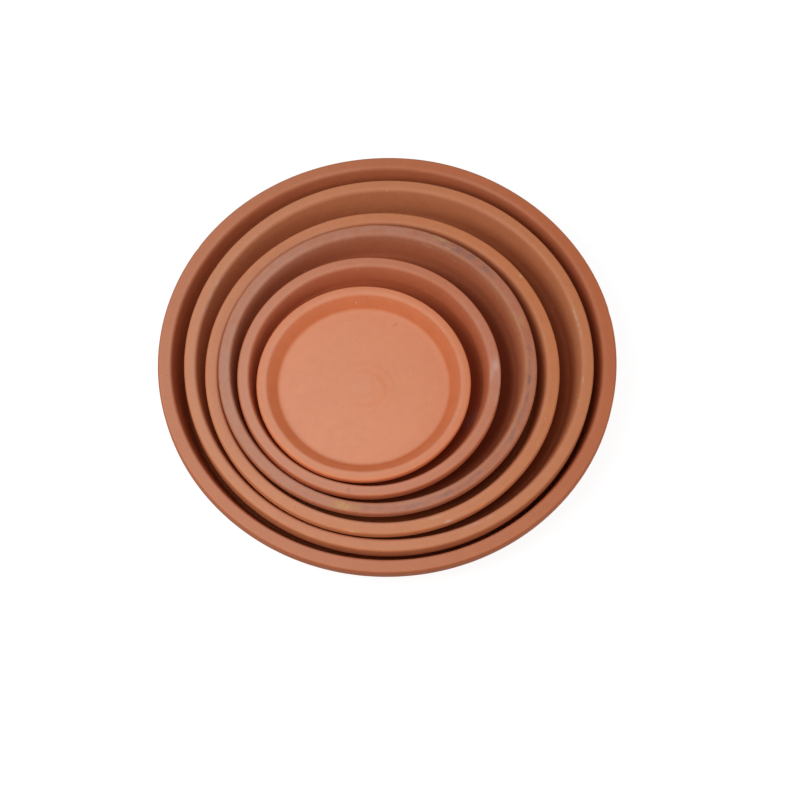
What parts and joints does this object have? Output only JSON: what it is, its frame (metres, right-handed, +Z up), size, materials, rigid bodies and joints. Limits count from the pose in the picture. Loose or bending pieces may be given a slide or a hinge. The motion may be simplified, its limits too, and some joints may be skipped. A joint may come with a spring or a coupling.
{
  "type": "nest of terracotta plant saucers",
  "caption": "Nest of round unglazed terracotta plant saucers in stepped sizes, each standing loose in the next and slid to one side, for catching water under plant pots.",
  "frame": {"origin": "centre of the outermost saucer's foot, on the surface that it stands on", "axes": "+Z up along the saucers' axes; the picture looks along +Y and down, with +X to its right"},
  "size_m": [0.3198, 0.3198, 0.059],
  "materials": {
    "outermost_clay": "unglazed fired terracotta, matt and slightly dusty",
    "second_clay": "unglazed fired terracotta, matt and slightly dusty",
    "third_clay": "unglazed fired terracotta, matt and slightly dusty",
    "fourth_clay": "unglazed fired terracotta, matt and slightly dusty",
    "fifth_clay": "unglazed fired terracotta, matt and slightly dusty",
    "innermost_clay": "unglazed fired terracotta, matt and slightly dusty"
  },
  "bodies": {
    "outermost_saucer": {"outermost_saucer": "outermost_clay"},
    "second_saucer": {"second_saucer": "second_clay"},
    "third_saucer": {"third_saucer": "third_clay"},
    "fourth_saucer": {"fourth_saucer": "fourth_clay"},
    "fifth_saucer": {"fifth_saucer": "fifth_clay"},
    "innermost_saucer": {"innermost_saucer": "innermost_clay"}
  },
  "joints": [
    {"name": "lift_second_saucer", "type": "slide", "parent": "outermost_saucer", "child": "second_saucer", "axis": [0, 0, 1], "range_m": [0, 0.046]},
    {"name": "lift_third_saucer", "type": "slide", "parent": "second_saucer", "child": "third_saucer", "axis": [0, 0, 1], "range_m": [0, 0.043]},
    {"name": "lift_fourth_saucer", "type": "slide", "parent": "third_saucer", "child": "fourth_saucer", "axis": [0, 0, 1], "range_m": [0, 0.04]},
    {"name": "lift_fifth_saucer", "type": "slide", "parent": "fourth_saucer", "child": "fifth_saucer", "axis": [0, 0, 1], "range_m": [0, 0.038]},
    {"name": "lift_innermost_saucer", "type": "slide", "parent": "fifth_saucer", "child": "innermost_saucer", "axis": [0, 0, 1], "range_m": [0, 0.034]}
  ]
}
